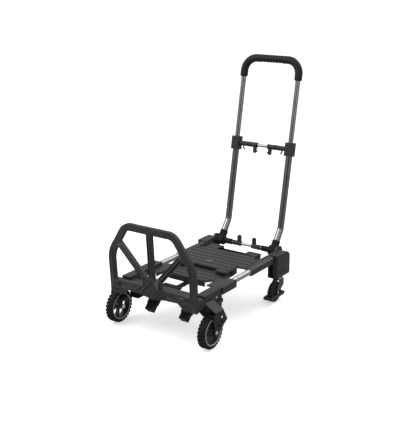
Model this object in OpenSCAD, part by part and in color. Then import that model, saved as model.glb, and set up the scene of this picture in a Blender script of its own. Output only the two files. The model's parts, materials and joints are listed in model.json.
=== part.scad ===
// Convertible hand truck: a telescoping platform on two front wheels and two
// swivel casters, with a folding front gate and a folding, telescoping handle.
// +Z is up, -Y is the gate end, and the origin is on the floor under the middle.

/* [Platform] */
// Width across the gate and the front rails
cart_w = 420; // [380:10:500]
// Length from the gate's front face to the back of the rear blocks
platform_len = 724; // [680:10:860]
// Height of the rear deck's top above the floor
deck_h = 207; // [195:1:235]
// How far the front frame slides in under the rear deck
slide_travel = 74; // [30:1:80]
// Step from the rear deck down to the front deck
deck_step = 14; // [12:1:16]
// Thickness of the rear deck's plate
deck_plate = 6; // [4:0.5:6.5]
// Outer diameter of the side tubes
side_tube_d = 25; // [20:0.5:26]
// Wall of the rear deck's edge around the side tubes
edge_wall = 2.5; // [2:0.5:4]

/* [Front wheels] */
// Diameter of the front wheels
front_wheel_d = 140; // [120:2:150]
// Width of the front tyres
front_tyre_w = 36; // [28:1:40]
// Height of the tyre from rim to tread
tyre_wall = 14; // [10:0.5:20]
// Diameter of the front axles
front_axle_d = 10; // [8:0.5:14]
// Distance of the front axle behind the gate's front face
front_axle_y = 67; // [60:1:80]

/* [Casters] */
// Diameter of the caster wheels
caster_d = 92; // [80:1:94]
// Width of the caster wheels
caster_w = 24; // [18:1:28]
// Distance of the caster axle ahead of its swivel axis
caster_trail = 34; // [24:1:40]
// Diameter of the caster axles
caster_axle_d = 8; // [6:0.5:10]
// Diameter of the swivel pins
swivel_pin_d = 12; // [8:0.5:16]

/* [Gate] */
// Height of the gate's top above the floor
gate_top = 468; // [420:4:500]
// Forward lean of the upright gate, in degrees
gate_lean = 3.9; // [0:0.1:5]
// Thickness of the gate
gate_t = 16; // [12:1:18]
// Width of the gate's frame members
gate_bar = 28; // [20:1:32]
// Width of the gate's spokes
gate_spoke = 24; // [16:1:28]
// Diameter of the gate's hinge pins
gate_pin_d = 8; // [6:0.5:10]

/* [Handle] */
// Distance between the centre lines of the two handle legs
handle_gauge = 278; // [268:1:282]
// Lean of the straight handle legs from upright, in degrees
handle_lean = 10.5; // [5:0.5:14]
// Slant of the short kick at the foot of the legs, in degrees from upright
kick_slant = 36; // [30:1:42]
// Length of the kick from the pivot to the bend
kick_len = 105; // [95:1:120]
// Length of the lower legs from the bend to the middle of the housings
lower_leg = 357; // [340:1:420]
// Length of the upper legs from the housings to the grip's centre line
upper_leg = 388; // [340:1:420]
// How far the upper handle slides down
handle_travel = 260; // [150:5:265]
// Outer diameter of the lower tubes
lower_tube_d = 30; // [28:0.5:31]
// Wall of the lower tubes
lower_wall = 1.5; // [1:0.1:2]
// Outer diameter of the upper tube
upper_tube_d = 22; // [18:0.5:22.5]
// Wall of the upper tube
upper_wall = 1.2; // [1:0.1:2]
// Radius of the upper tube's corners, on its centre line
corner_r = 60; // [50:1:75]
// Outer diameter of the grip
grip_d = 36; // [30:1:38]
// Diameter of the rods in both crossbars
rod_d = 13; // [10:0.5:15]
// Outer diameter of the sleeves on the rods
sleeve_d = 22; // [20:0.5:26]
// How far each sleeve slides in when it is pinched
sleeve_travel = 8; // [5:0.5:10]

/* [Fits] */
// Radial clearance of the turning and sliding metal fits
run_fit = 0.05; // [0.03:0.01:0.1]
// Radial clearance of the telescoping tubes in their plastic guides
slide_fit = 0.3; // [0.2:0.05:0.5]
// Gap between pieces that move past each other
side_gap = 1; // [0.5:0.1:1.5]

/* [Hidden] */
$fn = 64;

// Colours
dark_plastic = [0.20, 0.21, 0.22];
deck_plastic = [0.33, 0.34, 0.35];
black_rubber = [0.10, 0.10, 0.10];
steel = [0.75, 0.76, 0.77];
pale_rim = [0.70, 0.71, 0.72];

// Heights
front_deck_h = deck_h - deck_step;
side_tube_z = deck_h - side_tube_d / 2 - edge_wall;
side_tube_x = cart_w / 2 - 28;
rail_floor = side_tube_z - side_tube_d / 2 - 2.2;
block_floor = deck_h - 44;
gate_hinge_z = deck_h - 21;
gate_foot = gate_hinge_z - 26;

// Places along the platform, from the gate's front face
gate_hinge_y = gate_t / 2 + 32;
ear_r = 21;
block_front = gate_hinge_y + ear_r + 4;
block_back = 183;
rail_back = 284;
rear_rail_front = 420;
pivot_y = platform_len - 26;
pivot_z = deck_h - 7;
rear_block_front = platform_len - 114;
swivel_y = platform_len - 78;
caster_y = swivel_y - caster_trail;
deck_back = rear_block_front + 2;
front_deck_front = 228;
front_deck_back = 408;
side_slot_front = 300;

// Front wheels
wheel_out = cart_w / 2 + 36;
wheel_x = wheel_out - front_tyre_w / 2;
blade_in = wheel_out + 3;
blade_t = 7;
rim_r = front_wheel_d / 2 - tyre_wall;

// Casters
caster_x = cart_w / 2 - 12;
crown_z = caster_d + 3;
crown_t = 4;
race_t = 5;
rear_block_floor = crown_z + crown_t + race_t;

// Handle
leg_x = handle_gauge / 2;
socket_wall = 3;
socket_len = 46;
hub_half = lower_tube_d / 2 + socket_wall + 0.5;
hub_d = 44;
cheek_in = leg_x + hub_half + side_gap;
rear_block_in = cart_w / 2 - 47;
pivot_pin_d = 12;
elbow_r = 50;
elbow_turn = kick_slant - handle_lean;
elbow_cut = elbow_r * tan(elbow_turn / 2);
bend_y = pivot_y + kick_len * sin(kick_slant);
bend_z = pivot_z + kick_len * cos(kick_slant);
bar_local = lower_leg + upper_leg;
housing_h = 60;
housing_w = 35;
housing_deep = 38;
tube_overlap = 45;
arm_end = 76;
sleeve_out = 72;
sleeve_len = 43;
grip_skirt = 24;
grip_top_y = bend_y + bar_local * sin(handle_lean) + grip_d / 2;

// The gate is drawn upright and then leans about its hinge, so that its top still ends at gate_top
gate_rise = gate_hinge_z + (gate_top - gate_hinge_z + (gate_hinge_y - gate_t) * sin(gate_lean)) / cos(gate_lean);
gate_top_y = gate_hinge_y * (1 - cos(gate_lean)) - (gate_rise - gate_hinge_z) * sin(gate_lean);

// Middle of the whole cart's length, which the origin sits under
mid_y = (min(gate_top_y, front_axle_y - front_wheel_d / 2) + grip_top_y) / 2;

// Shared frames and shapes

module cart() translate([0, -mid_y, 0]) children();

// Frame at the bend: local z runs up along the straight legs
module handle_frame()
    cart() translate([0, bend_y, bend_z]) rotate([-handle_lean, 0, 0]) children();

module side(s) if (s < 0) mirror([1, 0, 0]) children(); else children();

module rod_x(d, x0, x1) translate([x0, 0, 0]) rotate([0, 90, 0]) cylinder(d = d, h = x1 - x0);

module rod_y(d, y0, y1) translate([0, y0, 0]) rotate([-90, 0, 0]) cylinder(d = d, h = y1 - y0);

module block(x0, x1, y0, y1, z0, z1) translate([x0, y0, z0]) cube([x1 - x0, y1 - y0, z1 - z0]);

// Extrudes a (y, z) outline along x
module side_plate(x0, x1) translate([x0, 0, 0]) rotate([90, 0, 90]) linear_extrude(x1 - x0) children();

// Extrudes an (x, z) outline along y
module front_plate(y0, y1) translate([0, y1, 0]) rotate([90, 0, 0]) linear_extrude(y1 - y0) children();

function arc(c, r, a0, a1, n) =
    [for (i = [0:n]) let (a = a0 + (a1 - a0) * i / n) c + r * [cos(a), sin(a)]];

// A slot with round ends, centred, with its long way along x
module slot_2d(len, d) {
    square([len - d, d], center = true);
    for (s = [-1, 1]) translate([s * (len - d) / 2, 0]) circle(d = d);
}

function flip(p) = [for (i = [len(p) - 1:-1:0]) [-p[i][0], p[i][1]]];

// Rear frame

// Right half of the rear deck's outline, from the front edge to the back edge
tongue_in = 76;
tongue_out = 132;
deck_front = 350;
tongue_front = 322;
cutout_half = 65;
cutout_front = deck_back - 35;
notch_in = 128;
notch_out = 158;
notch_front = deck_back - 64;
rear_deck_half = [[0, deck_front], [tongue_in, deck_front], [tongue_in, tongue_front],
    [tongue_out, tongue_front], [tongue_out, rear_rail_front - 9],
    [side_tube_x, rear_rail_front], [side_tube_x, deck_back], [notch_out, deck_back],
    [notch_out, notch_front + 10], [notch_out - 10, notch_front], [notch_in + 6, notch_front],
    [notch_in, notch_front + 6], [notch_in, deck_back], [cutout_half, deck_back],
    [cutout_half, cutout_front], [0, cutout_front]];
// Room left under the rear deck for the front deck, when it is slid in
under_back = front_deck_back + slide_travel + 10;
// The front deck's side plates stop short of the tongues' skirts, when it is slid in
skirt_front = side_slot_front + slide_travel + 2;
rib_low = side_tube_z - 6;
rib_high = deck_h - deck_plate;
edge_r = side_tube_d / 2 + edge_wall;

module rear_deck() color(deck_plastic) cart() difference() {
    union() {
        translate([0, 0, rib_high]) linear_extrude(deck_plate)
            polygon(concat(rear_deck_half, flip(rear_deck_half)));
        for (s = [-1, 1]) side(s) {
            // Rounded edge around the side tube, square below
            translate([side_tube_x, 0, side_tube_z]) rod_y(2 * edge_r, rear_rail_front, deck_back);
            block(rear_block_in + 2, side_tube_x + edge_r, rear_rail_front, deck_back, rail_floor, side_tube_z);
            block(rear_block_in + 2, side_tube_x, rear_rail_front, deck_back, side_tube_z - 1, rib_high);
            block(tongue_out - 6, tongue_out, skirt_front, rear_rail_front - 12, deck_h - 27, rib_high);
            block(cutout_half, cutout_half + 5, under_back, deck_back, rib_low, rib_high);
            block(notch_in - 8, notch_in - 2, under_back, deck_back, rib_low, rib_high);
        }
        block(-rear_block_in - 2, rear_block_in + 2, under_back, under_back + 5, rib_low, rib_high);
        block(-notch_in + 3, notch_in - 3, cutout_front - 19, cutout_front - 14, rib_low, rib_high);
    }
    for (s = [-1, 1]) side(s) translate([side_tube_x, 0, side_tube_z])
        rod_y(side_tube_d + 2 * run_fit, rear_rail_front - 10, deck_back + 1);
    at_deck_screws() screw_seat(screw_d, deck_plate);
    // Narrow slit ahead of the rear cut-out
    block(4 - cutout_half, cutout_half - 4, cutout_front - 12, cutout_front - 4, rib_high - 1, deck_h + 1);
}

module side_tubes() color(steel) cart() for (s = [-1, 1]) side(s)
    translate([side_tube_x, 0, side_tube_z]) difference() {
        rod_y(side_tube_d, rail_back - 89, rear_block_front + 40);
        rod_y(side_tube_d - 3, rail_back - 90, rear_block_front + 41);
    }

// Side outline of a rear block, with its rounded top corner at the back
module rear_block_outline() polygon(concat(
    [[rear_block_front + 2, rear_block_floor], [platform_len - 4, rear_block_floor],
        [platform_len, rear_block_floor + 4]],
    arc([platform_len - 30, deck_h - 27], 30, 0, 90, 10),
    [[rear_block_front + 2, deck_h + 3]]));

module rear_block() difference() {
    union() {
        side_plate(rear_block_in, cart_w / 2) rear_block_outline();
        translate([0, pivot_y, pivot_z]) rod_x(52, cheek_in, rear_block_in + 8);
        // Lip along the outer face
        block(cart_w / 2, cart_w / 2 + 3, platform_len - 86, platform_len - 33, 124, 130);
    }
    translate([side_tube_x, 0, side_tube_z])
        rod_y(side_tube_d + 2 * run_fit, rear_block_front, rear_block_front + 40);
    // Recess in the front face
    block(rear_block_in + 6, rear_block_in + 26, rear_block_front + 1, rear_block_front + 22,
        rear_block_floor + 5, deck_h - 40);
    translate([0, pivot_y, pivot_z]) rod_x(pivot_pin_d + 2 * run_fit, cheek_in - 1, cart_w / 2 - 12);
    translate([caster_x, swivel_y, rear_block_floor - 1]) cylinder(d = swivel_pin_d + 2 * run_fit, h = 47);
}

module rear_block_right() color(dark_plastic) cart() rear_block();
module rear_block_left() color(dark_plastic) cart() side(-1) rear_block();

// Each pin runs from the leg's hub into the block
module handle_pivot_pins() color(steel) cart() for (s = [-1, 1]) side(s)
    translate([0, pivot_y, pivot_z]) rod_x(pivot_pin_d, leg_x - hub_half + 0.5, cart_w / 2 - 12);

module swivel_races() color(steel) cart() for (s = [-1, 1]) side(s)
    translate([caster_x, swivel_y, crown_z + crown_t + 0.1]) difference() {
        cylinder(d = 38, h = race_t - 0.1);
        translate([0, 0, -1]) cylinder(d = swivel_pin_d + 2 * run_fit, h = race_t + 2);
    }

// A screw with its head sunk flush in a plate, and the seat that takes it
screw_d = 9;
head_t = 2;
module screw(d, plate) {
    translate([0, 0, -head_t]) cylinder(d = d, h = head_t);
    translate([0, 0, -plate]) cylinder(d = d / 2, h = plate - head_t);
}
module screw_seat(d, plate) {
    translate([0, 0, -head_t]) cylinder(d = d + 2 * run_fit, h = head_t + 1);
    translate([0, 0, -plate - 1]) cylinder(d = d / 2 + 2 * run_fit, h = plate + 1);
}

module at_deck_screws() for (s = [-1, 1]) side(s) for (y = [rear_rail_front + 30, notch_front - 12])
    translate([rear_block_in - 14, y, deck_h]) children();

module deck_screws() color(steel) cart() at_deck_screws() screw(screw_d, deck_plate);

// Front frame

front_plate_t = 5;
front_deck_half = [[0, front_deck_front], [90, front_deck_front], [122, 262], [122, front_deck_back],
    [0, front_deck_back]];

rail_in = side_tube_x - side_tube_d / 2 - 3.5;
front_face_low = block_floor + 6;
front_plate_low = front_deck_h - front_plate_t;

module at_front_screws() for (s = [-1, 1]) side(s) for (y = [253, 290])
    translate([rail_in - 8, y, front_deck_h]) children();

module front_deck() color(deck_plastic) cart() difference() {
    front_deck_solid();
    at_front_screws() screw_seat(8, front_plate_t);
}

module front_deck_solid() {
    translate([0, 0, front_plate_low]) linear_extrude(front_plate_t)
        polygon(concat(front_deck_half, flip(front_deck_half)));
    block(-90, 90, front_deck_front, front_deck_front + 4, front_face_low, front_plate_low);
    for (s = [-1, 1]) side(s) {
        // Side plate, cut back behind for the rear deck's skirt
        translate([0, 0, front_plate_low]) linear_extrude(front_plate_t)
            polygon([[121, 200], [rail_in, 200], [rail_in, 306], [tongue_out + 2.5, 330],
                [tongue_out + 2.5, side_slot_front], [121, side_slot_front]]);
        block(118, 122, 262, front_deck_back, front_deck_h - 22, front_plate_low);
        block(tongue_out + 3, tongue_out + 7, 204, 326, front_deck_h - 20, front_plate_low);
    }
    // Ribs under the plate
    for (y = [290, 350, front_deck_back - 4]) block(-118, 118, y, y + 4, front_deck_h - 22, front_plate_low);
}

module front_rail() difference() {
    block(rail_in, cart_w / 2, block_back, rail_back, rail_floor, deck_h);
    translate([side_tube_x, 0, side_tube_z])
        rod_y(side_tube_d + 2 * slide_fit, block_back - 1, rail_back + 1);
}
module front_rail_right() color(dark_plastic) cart() front_rail();
module front_rail_left() color(dark_plastic) cart() side(-1) front_rail();

button_y = 142;
button_z = deck_h - 27;
button_d = 9;
button_travel = 3;
block_out = cart_w / 2 - 5;

module front_block() difference() {
    block(block_out - 40, block_out, block_front, block_back, block_floor, deck_h);
    translate([side_tube_x, 0, side_tube_z])
        rod_y(side_tube_d + 2 * slide_fit, block_back - 83, block_back + 1);
    // Bore of the snap button, through the outer wall only
    translate([0, button_y, button_z]) rod_x(button_d + 2 * run_fit, side_tube_x + 4, block_out + 1);
    // Two blind holes near the gate
    for (y = [3, 30]) translate([0, block_front + y + 4, deck_h - 25]) rod_x(6, block_out - 6, block_out + 1);
}
module front_block_right() color(dark_plastic) cart() front_block();
module front_block_left() color(dark_plastic) cart() side(-1) front_block();

module snap_button() translate([0, button_y, button_z])
    rod_x(button_d, side_tube_x + side_tube_d / 2 + button_travel + 1.5, block_out + 2.5);
module snap_button_right() color(steel) cart() snap_button();
module snap_button_left() color(steel) cart() side(-1) snap_button();

bar_front = 48;
bar_back = 95;
ear_in = cart_w / 2 - 20;
bar_half = block_out - 40;

module cross_bar() color(dark_plastic) cart() {
    difference() {
        block(-bar_half, bar_half, bar_front, bar_back, block_floor + 2, front_deck_h + 1);
        // The bar is a channel, open below
        block(-bar_half + 6, bar_half - 6, bar_front + 5, bar_back - 5, block_floor + 1, front_deck_h - 4);
    }
    // Lugs that carry the gate's pins
    for (s = [-1, 1]) side(s) difference() {
        union() {
            translate([0, gate_hinge_y, gate_hinge_z]) rod_x(gate_pin_d + 12, bar_half - 30, ear_in - side_gap);
            block(bar_half - 30, bar_half, gate_hinge_y, bar_front + 2, gate_hinge_z - 10, gate_hinge_z + 10);
        }
        translate([0, gate_hinge_y, gate_hinge_z]) rod_x(gate_pin_d + 2 * run_fit, bar_half - 29, ear_in);
    }
}

module gate_hinge_pins() color(steel) cart() for (s = [-1, 1]) side(s)
    translate([0, gate_hinge_y, gate_hinge_z]) rod_x(gate_pin_d, bar_half - 29, cart_w / 2 + 1);

// Deep cross member that ties the forks together and carries the feet
beam_front = 112;
beam_back = 150;
beam_low = block_floor - 66;
module lower_beam() color(dark_plastic) cart() front_plate(beam_front, beam_back)
    polygon(let (r = [[block_out, block_floor], [block_out, beam_low], [164, beam_low],
        [112, block_floor - 30], [0, block_floor - 30]]) concat(r, flip(r)));

foot_x = 85;
module foot() translate([foot_x, beam_front + 19, block_floor - 49]) rotate([-45, 0, 0]) {
    block(-17, 17, -15, 15, -60, 40);
    block(-24, 24, -10, 10, -30, 40);
}
module foot_right() color(black_rubber) cart() difference() { foot(); foot_seat(); }
module foot_left() color(black_rubber) cart() side(-1) difference() { foot(); foot_seat(); }
// Everything above the beam's underside
module foot_seat() block(0, cart_w, 0, rail_back, block_floor - 30, deck_h);

// Fork: an arm over the wheel and one outer blade that carries the stub axle
axle_z = front_wheel_d / 2;
arm_z = front_wheel_d + 8;
arm_back = front_axle_y + 53;
// The blade's side outline and its three slots, measured from the axle
blade_outline = [[-14, 74], [54, 74], [79, 32], [55, 16], [27, -3], [14, -26], [-3, -17], [-10, 15], [-17, 59]];
blade_slots = [[46, 49], [33, 37], [18, 23]];
module front_fork() {
    difference() {
        union() {
            side_plate(blade_in, blade_in + blade_t) translate([front_axle_y, axle_z]) polygon(blade_outline);
            // The arm's top slopes from the block down to the blade
            front_plate(block_front, arm_back) polygon([[block_out, arm_z], [block_out, block_floor + 16],
                [blade_in + blade_t, arm_z + 2], [blade_in + blade_t, arm_z - 8], [blade_in, arm_z - 8],
                [blade_in, arm_z]]);
            block(block_out - 40, block_out, beam_back, block_back, block_floor - 46, block_floor);
            block(block_out, block_out + 6, arm_back - 20, block_back, arm_z, block_floor);
            translate([0, front_axle_y, axle_z]) rod_x(26, blade_in - 2, blade_in + blade_t);
        }
        translate([0, front_axle_y, axle_z]) rod_x(front_axle_d + 2 * run_fit, blade_in - 3, blade_in + blade_t + 1);
        // The top slot goes right through, the lower two are blind
        for (i = [0:2]) side_plate(blade_in + (i == 0 ? -1 : 3), blade_in + blade_t + 1)
            translate([front_axle_y, axle_z] + blade_slots[i]) rotate(-24) slot_2d(20 - 2 * i, 8);
    }
}
module front_fork_right() color(dark_plastic) cart() front_fork();
module front_fork_left() color(dark_plastic) cart() side(-1) front_fork();

module front_axles() color(steel) cart() for (s = [-1, 1]) side(s)
    translate([0, front_axle_y, axle_z]) {
        rod_x(front_axle_d, wheel_out - front_tyre_w - 6, blade_in + blade_t + 1);
        rod_x(front_axle_d + 8, wheel_out - front_tyre_w - 6, wheel_out - front_tyre_w - 3);
    }

module front_screws() color(steel) cart() at_front_screws() screw(8, 5);

module slide_paddle() color(dark_plastic) cart() {
    block(-42, 42, 112, 140, deck_h - 30, deck_h - 18);
    block(-15, 15, 139, front_deck_front + 60, front_face_low - 5.3, front_face_low - 0.3);
    block(-15, 15, 134, 140, front_face_low - 5.3, deck_h - 29);
}

// Front wheels

module front_wheel_at(s) cart() side(s) translate([wheel_x, front_axle_y, axle_z]) rotate([0, 90, 0]) children();

module front_tyre() rotate_extrude() difference() {
    union() {
        translate([rim_r, -front_tyre_w / 2 + 4]) square([tyre_wall - 4, front_tyre_w - 8]);
        translate([rim_r, -front_tyre_w / 2]) square([tyre_wall - 4, front_tyre_w]);
        translate([front_wheel_d / 2 - 4.5, -front_tyre_w / 2 + 4]) square([4.5, front_tyre_w - 8]);
        for (s = [-1, 1]) translate([front_wheel_d / 2 - 4, s * (front_tyre_w / 2 - 4)]) circle(4);
    }
}
module front_tyre_right() color(black_rubber) front_wheel_at(1) front_tyre();
module front_tyre_left() color(black_rubber) front_wheel_at(-1) front_tyre();

module front_rim() difference() {
    union() {
        rotate_extrude() translate([rim_r - 7, -front_tyre_w / 2 + 2]) square([7, front_tyre_w - 4]);
        cylinder(d = 30, h = front_tyre_w - 2, center = true);
        for (i = [0:4]) rotate([0, 0, 90 + 72 * i]) translate([0, -5, -8]) cube([rim_r - 3, 10, 16]);
    }
    cylinder(d = front_axle_d + 2 * run_fit, h = front_tyre_w, center = true);
}
module front_rim_right() color(pale_rim) front_wheel_at(1) front_rim();
module front_rim_left() color(pale_rim) front_wheel_at(-1) front_rim();

// Gate

panel_top = gate_foot + 61;
hub_z = gate_foot + 55;
gate_hub_r = 47;
spoke_turn = 47.5;
shoulder_turn = 33.3;
shoulder_r = 120;
top_r = 60;
top_centre = [91.4, gate_rise - top_r];
shoulder_x = cart_w / 2 - shoulder_r;
shoulder_centre = [shoulder_x, top_centre[1]
    + (top_r - shoulder_r - (shoulder_x - top_centre[0]) * cos(shoulder_turn)) / sin(shoulder_turn)];
// Right half of the gate's outline, moved in by t, with its foot at z
function gate_half(t, z) = concat([[cart_w / 2 - t, z]],
    arc(shoulder_centre, shoulder_r - t, 0, shoulder_turn, 8),
    arc(top_centre, top_r - t, shoulder_turn, 90, 10), [[0, gate_rise - t]]);
gate_sill = [[0, gate_foot + 12], [60, gate_foot + 22], [122, gate_foot + 25], [150, gate_foot]];
module gate_outline() polygon(let (r = concat(gate_sill, gate_half(0, gate_foot))) concat(r, flip(r)));
module gate_spokes() {
    translate([-gate_spoke / 2, hub_z]) square([gate_spoke, gate_rise - gate_bar / 2 - hub_z]);
    for (s = [0, 1]) mirror([s, 0]) translate([0, hub_z]) rotate(spoke_turn)
        translate([0, -gate_spoke / 2]) square([225, gate_spoke]);
    translate([0, hub_z]) circle(gate_hub_r);
}

// Leans everything drawn upright about the gate's hinge
module gate_at() translate([0, gate_hinge_y, gate_hinge_z]) rotate([gate_lean, 0, 0])
    translate([0, -gate_hinge_y, -gate_hinge_z]) children();

module gate_frame() color(dark_plastic) cart() gate_at() {
    front_plate(0, gate_t) difference() {
        gate_outline();
        difference() {
            polygon(let (r = gate_half(gate_bar, panel_top)) concat([[0, panel_top]], r, flip(r)));
            gate_spokes();
        }
    }
    // Ears that reach back to the hinge pins
    for (s = [-1, 1]) side(s) difference() {
        union() {
            translate([0, gate_hinge_y, gate_hinge_z]) rod_x(2 * ear_r, ear_in, cart_w / 2);
            block(ear_in, cart_w / 2, gate_t - 1, gate_hinge_y, gate_hinge_z - ear_r, gate_hinge_z + ear_r);
        }
        translate([0, gate_hinge_y, gate_hinge_z]) rod_x(gate_pin_d + 2 * run_fit, ear_in - 1, cart_w / 2 + 1);
    }
}

// Lower handle

tube_seat = 12;
module lower_tube() {
    cart() translate([leg_x, pivot_y, pivot_z]) rotate([-kick_slant, 0, 0]) {
        translate([0, 0, tube_seat]) cylinder(d = lower_tube_d, h = kick_len - elbow_cut - tube_seat);
        translate([0, -elbow_r, kick_len - elbow_cut]) rotate([90, 0, 90])
            rotate_extrude(angle = elbow_turn) translate([elbow_r, 0]) circle(d = lower_tube_d);
    }
    handle_frame() translate([leg_x, 0, elbow_cut]) difference() {
        cylinder(d = lower_tube_d, h = lower_leg - elbow_cut);
        translate([0, 0, 8]) cylinder(d = lower_tube_d - 2 * lower_wall, h = lower_leg);
    }
}
module lower_tube_right() color(steel) lower_tube();
module lower_tube_left() color(steel) side(-1) lower_tube();

hook_r = 9;
module mid_housing() handle_frame() translate([0, 0, lower_leg]) {
    difference() {
        union() {
            block(leg_x - housing_w / 2, leg_x + housing_w / 2, -housing_deep / 2, housing_deep / 2,
                -housing_h / 2, housing_h / 2);
            rod_x(sleeve_d, arm_end, leg_x);
        }
        translate([leg_x, 0, -housing_h / 2 - 1]) cylinder(d = lower_tube_d + 2 * run_fit, h = housing_h / 2 + 1);
        translate([leg_x, 0, -1]) cylinder(d = upper_tube_d + 2 * slide_fit, h = housing_h);
        rod_x(rod_d + 2 * run_fit, arm_end - 1, leg_x - lower_tube_d / 2 - 2);
    }
    // Curved hook below the arm
    translate([arm_end + 15, 0, -sleeve_d / 2 - 4]) rotate([90, 0, 0]) {
        rotate_extrude(angle = -90) translate([hook_r, 0]) circle(d = 6);
        translate([hook_r, 4]) rotate([90, 0, 0]) translate([0, 0, -2]) cylinder(d = 6, h = 6);
    }
}
module mid_housing_right() color(dark_plastic) mid_housing();
module mid_housing_left() color(dark_plastic) side(-1) mid_housing();

rod_half = leg_x - lower_tube_d / 2 - 3;
module mid_rod() color(steel) handle_frame() translate([0, 0, lower_leg]) rod_x(rod_d, -rod_half, rod_half);

lower_arm_end = 80;
module lower_rod() color(steel) cart() translate([0, pivot_y, pivot_z])
    rod_x(rod_d, -lower_arm_end - 20, lower_arm_end + 20);

// An arm, the hub on its pivot and the socket that holds the tube
module lower_arms() color(dark_plastic) cart() for (s = [-1, 1]) side(s)
    translate([0, pivot_y, pivot_z]) difference() {
        union() {
            rod_x(sleeve_d + 4, lower_arm_end, leg_x);
            rod_x(hub_d, leg_x - hub_half, leg_x + hub_half);
            translate([leg_x, 0, 0]) rotate([-kick_slant, 0, 0]) cylinder(d = lower_tube_d + 2 * socket_wall, h = socket_len);
        }
        rod_x(rod_d + 2 * run_fit, lower_arm_end - 1, lower_arm_end + 20);
        rod_x(pivot_pin_d + 2 * run_fit, leg_x - hub_half - 1, leg_x + hub_half + 1);
        translate([leg_x, 0, 0]) rotate([-kick_slant, 0, 0]) translate([0, 0, tube_seat - run_fit])
            cylinder(d = lower_tube_d + 2 * run_fit, h = socket_len);
    }

module housing_rivets() color(steel) handle_frame() for (s = [-1, 1]) side(s)
    for (z = [-19, 19]) translate([leg_x, -housing_deep / 2, lower_leg + z]) rotate([90, 0, 0])
        cylinder(d = 8, h = 1.5);

// Sleeves on the rods, each with a rounded lug to pinch and a knob on the lug's inner side
lug_at = 10;
module sleeve(lug_up, lug_len, lug_w, knob) difference() {
    lug_end = sleeve_d / 2 + lug_len - lug_w / 2;
    union() {
        rod_x(sleeve_d, sleeve_out - sleeve_len, sleeve_out);
        translate([sleeve_out - sleeve_len + lug_at, 5, 0]) rotate([90, 0, 0]) linear_extrude(10) {
            translate([-lug_w / 2, lug_up > 0 ? 0 : -lug_end]) square([lug_w, lug_end]);
            translate([0, lug_up * lug_end]) circle(d = lug_w);
        }
        translate([0, 0, lug_up * (lug_end - 2)])
            rod_x(6, sleeve_out - sleeve_len + lug_at - lug_w / 2 - knob, sleeve_out - sleeve_len + lug_at);
    }
    rod_x(rod_d + 2 * run_fit, sleeve_out - sleeve_len - 1, sleeve_out + 1);
}
module mid_sleeve_right() color(dark_plastic) handle_frame() translate([0, 0, lower_leg]) sleeve(-1, 26, 15, 7);
module mid_sleeve_left() color(dark_plastic) handle_frame() translate([0, 0, lower_leg]) side(-1) sleeve(-1, 26, 15, 7);
module lower_sleeve_right() color(dark_plastic) cart() translate([0, pivot_y, pivot_z]) sleeve(1, 30, 18, 1);
module lower_sleeve_left() color(dark_plastic) cart() translate([0, pivot_y, pivot_z]) side(-1) sleeve(1, 30, 18, 1);

// Upper handle

// The U of the upper handle, drawn with a ring of the two given diameters
module handle_u(d_out, d_in, leg_foot) {
    for (s = [-1, 1]) side(s) {
        translate([leg_x, 0, leg_foot]) difference() {
            cylinder(d = d_out, h = bar_local - corner_r - leg_foot);
            translate([0, 0, -1]) cylinder(d = d_in, h = bar_local);
        }
        translate([leg_x - corner_r, 0, bar_local - corner_r]) rotate([90, 0, 0])
            rotate_extrude(angle = 90) translate([corner_r, 0]) difference() {
                circle(d = d_out);
                circle(d = d_in);
            }
    }
    translate([0, 0, bar_local]) difference() {
        rod_x(d_out, corner_r - leg_x, leg_x - corner_r);
        rod_x(d_in, corner_r - leg_x - 1, leg_x - corner_r + 1);
    }
}

module upper_tube() color(steel) handle_frame()
    handle_u(upper_tube_d, upper_tube_d - 2 * upper_wall, lower_leg - tube_overlap);

module grip() color(black_rubber) handle_frame()
    handle_u(grip_d, upper_tube_d + 2 * run_fit, bar_local - corner_r - grip_skirt);

module tube_plugs() color(dark_plastic) handle_frame() for (s = [-1, 1]) side(s)
    translate([leg_x, 0, lower_leg - tube_overlap - 12])
        cylinder(d = lower_tube_d - 2 * lower_wall - 2 * slide_fit, h = 12);

// Casters

module caster_at(s) cart() side(s) translate([caster_x, swivel_y, 0]) children();

module caster_fork() difference() {
    union() {
        translate([0, 0, crown_z]) cylinder(d = 46, h = crown_t);
        for (s = [-1, 1]) block(s * (caster_w / 2 + 3.5) - 1.5, s * (caster_w / 2 + 3.5) + 1.5,
            -20, 20, crown_z - 26, crown_z + crown_t);
        block(-caster_w / 2 - 5, caster_w / 2 + 5, -20, 20, crown_z, crown_z + crown_t);
        for (s = [-1, 1]) side_plate(s * (caster_w / 2 + 3.5) - 1.5, s * (caster_w / 2 + 3.5) + 1.5)
            polygon([[-20, crown_z], [20, crown_z], [20, crown_z - 26],
                [-caster_trail + 13, caster_d / 2 - 6], [-caster_trail, caster_d / 2 - 11],
                [-caster_trail - 11, caster_d / 2], [-caster_trail - 6, caster_d / 2 + 12]]);
    }
    translate([0, 0, crown_z - 1]) cylinder(d = swivel_pin_d, h = crown_t + 2);
    translate([0, -caster_trail, caster_d / 2]) rod_x(caster_axle_d + 2 * run_fit, -caster_w, caster_w);
}
module caster_fork_right() color(steel) caster_at(1) caster_fork();
module caster_fork_left() color(steel) caster_at(-1) caster_fork();

module caster_pin() translate([0, 0, crown_z - 1]) {
    cylinder(d = swivel_pin_d, h = 45);
    translate([0, 0, -1]) cylinder(d = swivel_pin_d + 4, h = 2);
}
module caster_pin_right() color(steel) caster_at(1) caster_pin();
module caster_pin_left() color(steel) caster_at(-1) caster_pin();

module caster_wheel_at(s) caster_at(s) translate([0, -caster_trail, caster_d / 2]) children();

module caster_axle() rod_x(caster_axle_d, -caster_w / 2 - 8, caster_w / 2 + 8);
module caster_axle_right() color(steel) caster_wheel_at(1) caster_axle();
module caster_axle_left() color(steel) caster_wheel_at(-1) caster_axle();

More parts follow.
